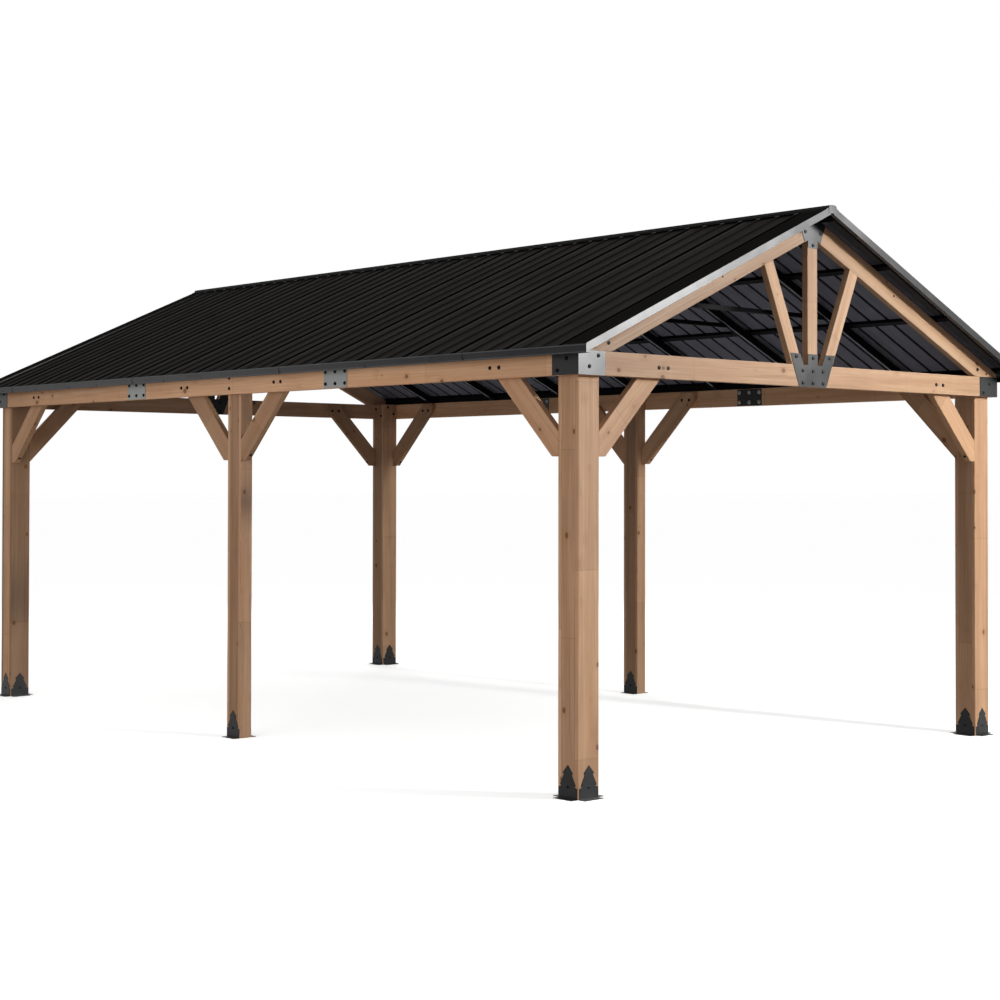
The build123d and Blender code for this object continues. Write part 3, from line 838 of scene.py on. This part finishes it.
def on_slope(x, across, reach, plane):
    """The point of a sloping plane at x, so far from the ridge line on one side."""
    return Vector((x, across * reach, plane - SLOPE * reach))


def rib_places():
    """The middles of the ribs that no rake trim covers, each with its number."""
    for rib in range(RIB_COUNT):
        middle = (rib + 0.5) * RIB_STEP - SHEET_LENGTH
        if abs(middle) <= ROOF_LENGTH - RAKE_COVER:
            yield rib, middle


def add_sheet_details():
    """Painted shadows of the sheet laps, each with a painted highlight beside it, and rib closures under
    the ridge cap.
    """
    lap_shadows, edges, closures = Bits(), Bits(), Bits()
    half_closure = ALONG * RIB_BASE * CLOSURE_HALF_SHARE
    for across in (-1, 1):
        normal = Vector((0, across * math.sin(ROOF_PITCH), math.cos(ROOF_PITCH)))
        down = Vector((0, across * CLOSURE_LENGTH, -SLOPE * CLOSURE_LENGTH))
        side = ALONG * (RIB_BASE - RIB_CROWN) / 2 - normal * RIB_HEIGHT
        foot = side + ALONG * LAP_SHADOW_WIDTH
        for rib, middle in rib_places():
            top = on_slope(middle, across, CLOSURE_PLACE, RIB_PLANE) - normal * CLOSURE_SINK
            closures.strip(top - half_closure, top + half_closure, down, normal * CLOSURE_HEIGHT)
            if rib % LAP_EVERY == 0:
                start = on_slope(middle + RIB_CROWN / 2, across, LAP_TOP, RIB_PLANE)
                stop = on_slope(middle + RIB_CROWN / 2, across, LAP_FOOT, RIB_PLANE)
                # Painted shadow over the rib's near side and the flat beside it, then a lighter strip as a
                # painted highlight
                lap_shadows.strip(start, stop, side, ALONG * LAP_SKIN + normal * LAP_CROWN_SKIN)
                lap_shadows.strip(start + side, stop + side, ALONG * LAP_SHADOW_WIDTH, normal * LAP_SKIN)
                edges.strip(start + foot, stop + foot, ALONG * LAP_HIGHLIGHT_WIDTH, normal * LAP_HIGHLIGHT_SKIN)
    lap_shadows.piece("painted_lap_shadows", "lap_shadow", "roof_steel")
    edges.piece("lap_highlights", "lap_highlight", "roof_steel")
    closures.piece("rib_closures", "bolt_black", "roof_steel")


def joint_places():
    return [JOINT_FIRST - count * TRIM_LENGTH for count in range(JOINT_COUNT)]


def add_trim_seams():
    """Eave trims: a hem along each edge, lighter as a painted highlight, and dark joints between the
    lengths.
    """
    hem_highlights, joints = Bits(), Bits()
    for out in (-ACROSS, ACROSS):
        base = out * ROOF_WIDTH + UP * EAVE_TRIM_LOW
        end = ALONG * (ROOF_LENGTH - HEM_INSET)
        for rise in HEM_RISES:
            # Painted highlight: each hem strip is lighter than the trim
            hem_highlights.strip(base - end + UP * rise, base + end + UP * rise, out * HEM_DEPTH, UP * HEM_HEIGHT)
        for x in joint_places():
            start = base + ALONG * x
            joints.strip(start, start + ALONG * JOINT_WIDTH, out * JOINT_DEPTH, UP * EAVE_TRIM_HEIGHT)
    hem_highlights.piece("eave_trim_hem_highlights", "hem_steel", "trim_steel")
    joints.piece("eave_trim_joints", "lap_shadow", "trim_steel")


def add_rafter_lips():
    """Light strips under the slim steel rafters: a painted highlight of their lower faces, lit from below.
    """
    lip_highlights = Bits()
    plane = ROOF_PLANE - STEEL_DEPTH * UPRIGHT_SHARE
    for count in range(-FRAMES_EACH_SIDE, FRAMES_EACH_SIDE + 1):
        x = count * FRAME_SPACING + STEEL_WIDTH / 2 - LIP_WIDTH
        for across in (-1, 1):
            start = on_slope(x, across, LIP_TOP, plane)
            stop = on_slope(x, across, LIP_FOOT, plane)
            # Painted highlight: a light strip under each rafter
            lip_highlights.strip(start, stop, ALONG * LIP_WIDTH, -UP * LIP_HEIGHT)
    lip_highlights.piece("rafter_lip_highlights", "lip_highlight", "frame_steel")


def add_trim_screws():
    """Screws of the eave trims, one beside each joint and more between."""
    screws = Bits()
    places = [x + JOINT_SCREW_SHIFT for x in joint_places()] + list(TRIM_SCREW_PLACES)
    for out in (-ACROSS, ACROSS):
        base = out * ROOF_WIDTH + UP * (EAVE_TRIM_LOW + TRIM_SCREW_RISE)
        for x in places:
            screw(screws, base + ALONG * x, out, TRIM_SCREW_RADIUS)
    screws.piece("trim_screws", "bolt_black", "trim_steel")


# Camera and studio

def add_camera():
    data = bpy.data.cameras.new("photo_camera")
    data.sensor_width = SENSOR_WIDTH
    data.lens = FOCAL_PIXELS / FRAME_PIXELS * SENSOR_WIDTH
    data.shift_y = (CENTRE_ROW - FRAME_PIXELS / 2) / FRAME_PIXELS
    camera = bpy.data.objects.new("photo_camera", data)
    turn = Matrix.Rotation(math.radians(CAMERA_AZIMUTH), 4, "Z")
    tilt = Matrix.Rotation(math.radians(90 + CAMERA_PITCH), 4, "X")
    roll = Matrix.Rotation(math.radians(CAMERA_ROLL), 4, "Z")
    camera.matrix_world = Matrix.Translation(CAMERA_PLACE) @ turn @ tilt @ roll
    scene.collection.objects.link(camera)
    scene.camera = camera


def add_floor():
    bpy.ops.mesh.primitive_plane_add(size=FLOOR_SIZE)
    floor = bpy.context.object
    floor.name = "floor"
    material, tree, shader = new_material("floor_white")
    shader.inputs["Roughness"].default_value = 0.9
    shader.inputs["Specular IOR Level"].default_value = 0.1
    shader.inputs["Emission Color"].default_value = (*WHITE, 1)
    seen = seen_rays(tree)
    tree.links.new(blend(tree, seen, FLOOR_BOUNCE, FLOOR_WHITE), shader.inputs["Base Color"])
    tree.links.new(times(tree, seen, FLOOR_GLOW), shader.inputs["Emission Strength"])
    floor.data.materials.append(material)


def add_sky():
    world = bpy.data.worlds.new("studio")
    scene.world = world
    world.use_nodes = True
    tree = world.node_tree
    background = tree.nodes["Background"]
    background.inputs["Color"].default_value = (*WHITE, 1)
    strength = plus(tree, times(tree, seen_rays(tree), 1 - SKY_STRENGTH), SKY_STRENGTH)
    tree.links.new(strength, background.inputs["Strength"])


def add_lamps():
    for name, wanted in LAMPS.items():
        light = bpy.data.lights.new(name, "AREA")
        light.size = wanted["size"]
        light.energy = wanted["watts"]
        light.color = wanted["colour"]
        place = Vector(wanted["place"])
        lamp = bpy.data.objects.new(name, light)
        lamp.location = place
        lamp.rotation_euler = (wanted["aim"] - place).to_track_quat("-Z", "Y").to_euler()
        lamp.visible_camera = False
        lamp.visible_diffuse = name not in SHEEN_LAMPS
        lamp.visible_glossy = name in SHEEN_LAMPS
        scene.collection.objects.link(lamp)


add_posts()
add_other_timber()
add_fasteners()
add_sheet_details()
add_trim_seams()
add_rafter_lips()
add_trim_screws()
add_camera()
add_floor()
add_sky()
add_lamps()
scene.view_settings.view_transform = "Standard"
